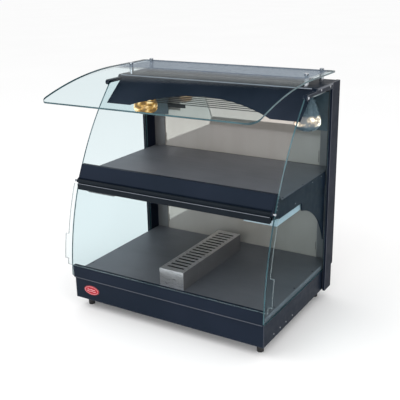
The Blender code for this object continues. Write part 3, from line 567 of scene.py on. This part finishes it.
def make_camera():
    """A long lens a little above the decks, from the right-hand front."""
    azimuth, elevation, roll = math.radians(31.44), math.radians(18.35), math.radians(-1.1)
    target, distance = Vector((0.0, 0.014, 0.414)), 2.5588
    back = Vector((math.sin(azimuth) * math.cos(elevation), -math.cos(azimuth) * math.cos(elevation),
                   math.sin(elevation)))
    level = Vector((0.0, 0.0, 1.0)).cross(back).normalized()
    upright = back.cross(level)
    right = math.cos(roll) * level + math.sin(roll) * upright
    up = math.cos(roll) * upright - math.sin(roll) * level
    data = bpy.data.cameras.new("camera")
    data.sensor_width = 36.0
    data.lens = 62.58
    data.shift_x = -0.001
    data.shift_y = -0.003
    data.clip_end = 200.0
    camera = bpy.data.objects.new("camera", data)
    scene.collection.objects.link(camera)
    placing = Matrix((right, up, back)).transposed().to_4x4()
    placing.translation = target + distance * back
    camera.matrix_world = placing
    scene.camera = camera


def area_light(name, place, aim, size, power):
    data = bpy.data.lights.new(name, "AREA")
    data.shape = "RECTANGLE"
    data.size, data.size_y = size
    data.energy = power
    lamp = bpy.data.objects.new(name, data)
    scene.collection.objects.link(lamp)
    lamp.location = place
    lamp.rotation_euler = (Vector(aim) - Vector(place)).to_track_quat("-Z", "Y").to_euler()


def make_studio():
    """A wide pale floor, a white surround and broad soft lights."""
    form = bmesh.new()
    bmesh.ops.create_grid(form, x_segments=8, y_segments=8, size=60.0)
    mesh = bpy.data.meshes.new("floor")
    form.to_mesh(mesh)
    form.free()
    ground = bpy.data.objects.new("floor", mesh)
    scene.collection.objects.link(ground)
    paper = Surface("floor_paper")
    tone = paper.noise(0.8, 2.0)
    paper.set(Base_Color=paper.ramp(tone, (0.3, (0.960, 0.960, 0.960)), (0.7, (0.975, 0.975, 0.975))),
              Roughness=paper.ramp(tone, (0.3, 0.85), (0.7, 0.95)))
    paper.shader.inputs["Specular IOR Level"].default_value = 0.0
    mesh.materials.append(paper.material)

    world = bpy.data.worlds.new("surround")
    scene.world = world
    world.use_nodes = True
    background = world.node_tree.nodes["Background"]
    background.inputs["Color"].default_value = (1.0, 1.0, 1.0, 1.0)
    background.inputs["Strength"].default_value = 1.0
    area_light("key", (-1.6, -2.2, 3.0), (0.0, 0.0, 0.4), (2.4, 1.8), 34.0)
    area_light("fill", (2.6, -1.2, 1.6), (0.0, 0.0, 0.4), (1.6, 1.6), 7.0)
    area_light("front", (0.9, -2.6, 0.9), (0.0, 0.0, 0.3), (1.6, 0.9), 22.0)
    scene.view_settings.view_transform = "Standard"


make_camera()
make_studio()


# ---------------------------------------------------------------- the frame's own nodes

for node_name, node_object in nodes.items():
    node_object.data.materials.clear()
    node_object.data.materials.append(finish_of(node_name))
    shade(node_object)

# Rounding of the edges: its radius, and the nodes that have it. Some edges carry a painted highlight: a
# lighter coat on their rounding.
HIGHLIGHT_EDGED = {
    0.0014: ["base_tub", "post_left", "post_right"],
    0.0008: ["hood_end_left", "hood_end_right"],
}
ROUNDED = {
    0.0015: ["lower_deck", "shelf_deck"],
    0.0009: ["shelf_pan", "shelf_arm_left", "shelf_arm_right", "base_lip", "shelf_apron", "hood_cover"],
    0.0006: ["jamb_left", "jamb_right", "rear_mid_rail", "control_panel",
             "lamp_shield_left", "lamp_shield_right", "rocker_power", "rocker_lights"],
    0.0004: ["front_door_rail", "lower_door_rail", "upper_door_rail", "heater_guard", "reflector_pan",
             "water_pan", "thermostat_lower", "thermostat_upper"],
}
for radius, names in HIGHLIGHT_EDGED.items():
    for node_name in names:
        refined(node_name, radius, EDGE_HIGHLIGHT_COAT)
for radius, names in ROUNDED.items():
    for node_name in names:
        refined(node_name, radius)

refined_cover("humidity_cover", 0.0007)
for side, sign in SIDES:
    pane("side_glass_" + side, 0.0005, PANE, PANE_EDGE)
pane("front_door_glass", 0.0005, DOOR_PANE, DOOR_EDGE)
pane("canopy_glass", 0.0006, CANOPY_PANE, PANE_EDGE)
for level in ("lower", "upper"):
    pane(level + "_door_mirror", 0.0005, MIRROR, PANE_EDGE)


# ---------------------------------------------------------------- small parts

FLUSH = 0.0006                  # how far a countersunk head's rim stands over a deck
SEATED = 0.0004                 # how far a button head's foot stands off its sheet


def mirrored_box(node, sign):
    """A left or right node's inner and outer X, and its corners."""
    low, high = box_of(node)
    return (low.x, high.x, low, high) if sign > 0 else (high.x, low.x, low, high)


def between(one, other):
    return min(one, other), max(one, other)


def make_deck_screws():
    """Three countersunk screws along each side edge of each deck."""
    for node, inset, first, pitch in (("shelf_deck", 0.0045, 0.0515, 0.161),
                                      ("lower_deck", 0.0090, 0.0887, 0.164)):
        low, high = box_of(node)
        places = [((sign * (high.x - inset), low.y + first + pitch * i, high.z + FLUSH), (0, 0, 1))
                  for _, sign in SIDES for i in range(3)]
        disc_heads(node + "_screws", places, body_of[node], 0.0030, BLACK_SCREW)


def make_base_screws():
    """A row of screws low in each side of the base."""
    low, high = box_of("base_tub")
    row = (0.076, 0.126, 0.173, 0.227)
    places = [((sign * (high.x + SEATED), low.y + back, low.z + 0.0175), (sign, 0, 0))
              for _, sign in SIDES for back in row]
    screws("base_side_screws", places, "cabinet", 0.0026, SCREW)


def make_hood_end_details(side, sign):
    """The pin at the hood end's nose, the two screws in its side and a strip of lighter coat over them, a
    painted highlight near its top.
    """
    _, outer, low, high = mirrored_box("hood_end_" + side, sign)
    nose = (outer, low.y + 0.0095, low.z + 0.0095)
    revolved("nose_pin_" + side, [(0.0, -0.0010), (0.0055, -0.0010), (0.0055, 0.0016), (0.0046, 0.0026),
                                  (0.0026, 0.0028), (0.0022, 0.0016), (0.0, 0.0016)],
             facing(nose, (sign, 0, 0)), CHROME, "cabinet", sides=24)
    places = [((outer + sign * SEATED, y, high.z - 0.0105), (sign, 0, 0))
              for y in (low.y + 0.1214, high.y - 0.0247)]
    screws("hood_end_screws_" + side, places, "cabinet", 0.0040, SCREW)
    # The strip is a painted highlight: a lighter coat where the hood end's top catches light.
    near, far = between(outer, outer + sign * 0.0022)
    slab("hood_end_highlight_strip_" + side, (near, low.y + 0.0894, high.z - 0.0068),
         (far, high.y - 0.0037, high.z - 0.0008), EDGE_HIGHLIGHT_COAT, "cabinet")


def make_arm_rivets(side, sign):
    """Rivets through a shelf arm: four in an arc over the door's hinge and three along the shelf."""
    _, outer, low, high = mirrored_box("shelf_arm_" + side, sign)
    over_hinge = [(0.0446, 0.0280), (0.0429, 0.0410), (0.0389, 0.0515), (0.0515, 0.0154)]
    along_shelf = [(0.1839, 0.0730), (0.3289, 0.0380), (0.4089, 0.0380)]
    places = [((outer + sign * 0.00005, low.y + back, high.z - drop), (sign, 0, 0))
              for back, drop in over_hinge + along_shelf]
    disc_heads("arm_rivets_" + side, places, "cabinet", 0.0019, SCREW)


def make_post_details(side, sign):
    """Screws down the back of a post and its jamb, and the seals of the side glass."""
    _, _, post_low, post_high = mirrored_box("post_" + side, sign)
    post_middle = (post_low.x + post_high.x) / 2
    screws("post_screws_" + side, [((post_middle, post_high.y + SEATED, post_low.z + height), (0, 1, 0))
                                   for height in (0.0295, 0.2595, 0.4795, 0.7595)],
           "cabinet", 0.0032, BLACK_SCREW)
    _, jamb_outer, jamb_low, jamb_high = mirrored_box("jamb_" + side, sign)
    jamb_line = jamb_outer - sign * 0.0150
    screws("jamb_screws_" + side, [((jamb_line, jamb_high.y + SEATED, jamb_low.z + height), (0, 1, 0))
                                   for height in (0.0357, 0.1857, 0.3257, 0.4357, 0.5557, 0.6457)],
           "cabinet", 0.0030, BLACK_SCREW)
    glass_inner, glass_outer, glass_low, glass_high = mirrored_box("side_glass_" + side, sign)
    glass_middle = (glass_inner + glass_outer) / 2
    swept("post_seal_" + side, [(glass_middle, post_low.y - 0.0016, z)
                                for z in (glass_low.z + 0.0030, glass_high.z - 0.0027)],
          0.0015, SILICONE, "cabinet")
    swept("sill_seal_" + side, [(glass_inner - sign * 0.0006, y, glass_low.z - 0.0002)
                                for y in (glass_low.y + 0.0171, glass_high.y - 0.0117)],
          0.0009, SILICONE, "cabinet")


def make_rear_screws():
    """Five screws across the back of the hood and four in the control panel's corners."""
    hood_high = box_of("hood_cover")[1]
    screws("hood_rear_screws", [((0.16 * i, hood_high.y + SEATED, hood_high.z - 0.031), (0, 1, 0))
                                for i in range(-2, 3)], "cabinet", 0.0032, BLACK_SCREW)
    low, high = box_of("control_panel")
    across, up = 0.012, 0.009
    screws("panel_screws", [((x, high.y + 0.0002, z), (0, 1, 0)) for x in (low.x + across, high.x - across)
                            for z in (low.z + up, high.z - up)], "cabinet", 0.0030, SCREW)


def make_badge():
    """An oval enamel badge: a dark surround, a paler raised ring, a domed field and two soft relief bars."""
    low, high = box_of("badge")
    middle = (low + high) / 2
    half_width = (high.x - low.x) / 2
    squash = (high.z - low.z) / (high.x - low.x)
    oval = (1.0, squash)
    back = facing((middle.x, high.y, middle.z), (0, -1, 0))
    revolved("badge_surround", [(0.0, 0.0), (half_width, 0.0), (half_width, 0.0008),
                                (half_width - 0.0012, 0.0013), (0.0, 0.0013)],
             back, PLASTIC, "cabinet", ["badge"], 64, oval)
    revolved("badge_field", [(0.0, 0.0013), (half_width - 0.0018, 0.0013), (half_width - 0.0026, 0.0019),
                             (half_width - 0.0100, 0.0023), (0.0, 0.0025)],
             back, RED, "cabinet", sides=64, squash=oval)
    reach = half_width - 0.0060
    rise = reach * squash - 0.0014
    ring = [(middle.x + reach * math.cos(turn), high.y - 0.0021, middle.z + rise * math.sin(turn))
            for turn in [math.tau * i / 64 for i in range(64)]]
    swept("badge_ring", ring, 0.0007, PINK, "cabinet", closed=True)
    for name, height, reach in (("badge_bar_upper", 0.0032, 0.017), ("badge_bar_lower", -0.0036, 0.020)):
        steps = [-1.0 + 0.125 * i for i in range(17)]
        swept(name, [(middle.x + reach * t, high.y - 0.0023, middle.z + height + 0.0012 * math.cos(6.0 * t))
                     for t in steps], 0.0012, PINK, "cabinet")


def make_lamp_details():
    """Lamp holders, the plates in the corners behind the lamps and the heater guard's terminal block."""
    hood_high = box_of("hood_cover")[1]
    plate_width, plate_height, plate_thickness = 0.0925, 0.1415, 0.0015
    plate_top = hood_high.z - 0.0375
    plate_rear = hood_high.y - 0.0375
    for side, sign in SIDES:
        low, high = box_of("hood_lamp_" + side)
        middle = (low + high) / 2
        revolved("lamp_holder_" + side, [(0.0150, -0.0248), (0.0185, -0.0248), (0.0200, -0.0228),
                                         (0.0200, -0.0028), (0.0185, -0.0008), (0.0150, -0.0008)],
                 Matrix.Translation((middle.x, middle.y, high.z)), PLASTIC, "cabinet")
        outer = sign * (hood_high.x - 0.0055)
        near, far = between(outer, outer - sign * plate_width)
        slab("corner_plate_" + side, (near, plate_rear - plate_thickness, plate_top - plate_height),
             (far, plate_rear, plate_top), CORNER, "cabinet", 0.0004)
    guard_low = box_of("heater_guard")[0]
    slab("guard_terminal_block", (guard_low.x + 0.108, guard_low.y - 0.0052, guard_low.z - 0.0110),
         (guard_low.x + 0.185, guard_low.y - 0.0004, guard_low.z + 0.0020), RUBBER, "cabinet")


def edge_bead(name, node, y, z, radius, finish):
    """A bead along a node's whole width, stopping just short of its ends."""
    low, high = box_of(node)
    ends = (low.x + 0.002, high.x - 0.002)
    swept(name, [(x, y, z) for x in ends], radius, finish, body_of[node])


def make_fold_highlights():
    """Painted highlights: lighter beads along the folds of the hood, the base's lip and the door's rail,
    where the coat catches light.
    """
    low, high = box_of("hood_cover")
    edge_bead("hood_crease_highlight", "hood_cover", low.y + 0.0948, high.z - 0.0006, 0.0020, PAINTED_FOLD_HIGHLIGHT)
    low = box_of("base_lip")[0]
    edge_bead("lip_step_highlight", "base_lip", low.y + 0.0011, low.z + 0.0011, 0.0012, EDGE_HIGHLIGHT_COAT)
    low = box_of("front_door_rail")[0]
    edge_bead("rail_ledge_highlight", "front_door_rail", low.y + 0.0012, low.z + 0.0209, 0.0008, PAINTED_FOLD_HIGHLIGHT)


def make_door_details():
    """Stops of the rear doors and the seal of the front door."""
    half_width, inset, proud, clear = 0.0007, 0.0120, 0.0012, 0.0002
    for level, foot, head in (("upper", 0.015, 0.059), ("lower", 0.032, 0.064)):
        node = level + "_door_mirror"
        low, high = box_of(node)
        for side, sign in SIDES:
            x = sign * (high.x - inset)
            slab(f"{level}_door_stop_{side}", (x - half_width, low.y - proud, low.z + foot),
                 (x + half_width, low.y - clear, low.z + head), PLASTIC, body_of[node], 0.0003)
    low = box_of("front_door_rail")[0]
    edge_bead("front_door_gasket", "front_door_rail", low.y + 0.0022, low.z - 0.0002, 0.0009, SILICONE)


def make_control_details():
    """A pointer on each knob and a ring of dial marks on the panel around it."""
    panel_face = box_of("control_panel")[1].y
    mark_ring, marks, sweep = 0.0235, 11, math.radians(270.0)
    for node in ("knob_lower", "knob_upper"):
        low, high = box_of(node)
        middle = (low + high) / 2
        slab(node + "_pointer", (middle.x - 0.0009, high.y - 0.0008, middle.z + 0.0050),
             (middle.x + 0.0009, high.y + 0.0002, middle.z + 0.0150), WHITE_MARK, body_of[node], 0.0002)
        form = bmesh.new()
        for i in range(marks):
            turn = Matrix.Rotation(sweep * (i / (marks - 1) - 0.5), 4, "Y")
            outward = Matrix.Translation((0.0, 0.0001, mark_ring))
            size = Matrix.Diagonal((0.0009, 0.0004, 0.0035, 1.0))
            centre = Matrix.Translation((middle.x, panel_face, middle.z))
            mark = bmesh.ops.create_cube(form, size=1.0)["verts"]
            bmesh.ops.transform(form, verts=mark, matrix=centre @ turn @ outward @ size)
        mesh = bpy.data.meshes.new(node + "_dial")
        form.to_mesh(mesh)
        form.free()
        add_piece(node + "_dial", mesh, [WHITE_MARK], "cabinet")


make_deck_screws()
make_base_screws()
for side, sign in SIDES:
    make_hood_end_details(side, sign)
    make_arm_rivets(side, sign)
    make_post_details(side, sign)
make_rear_screws()
make_badge()
make_lamp_details()
make_fold_highlights()
make_door_details()
make_control_details()
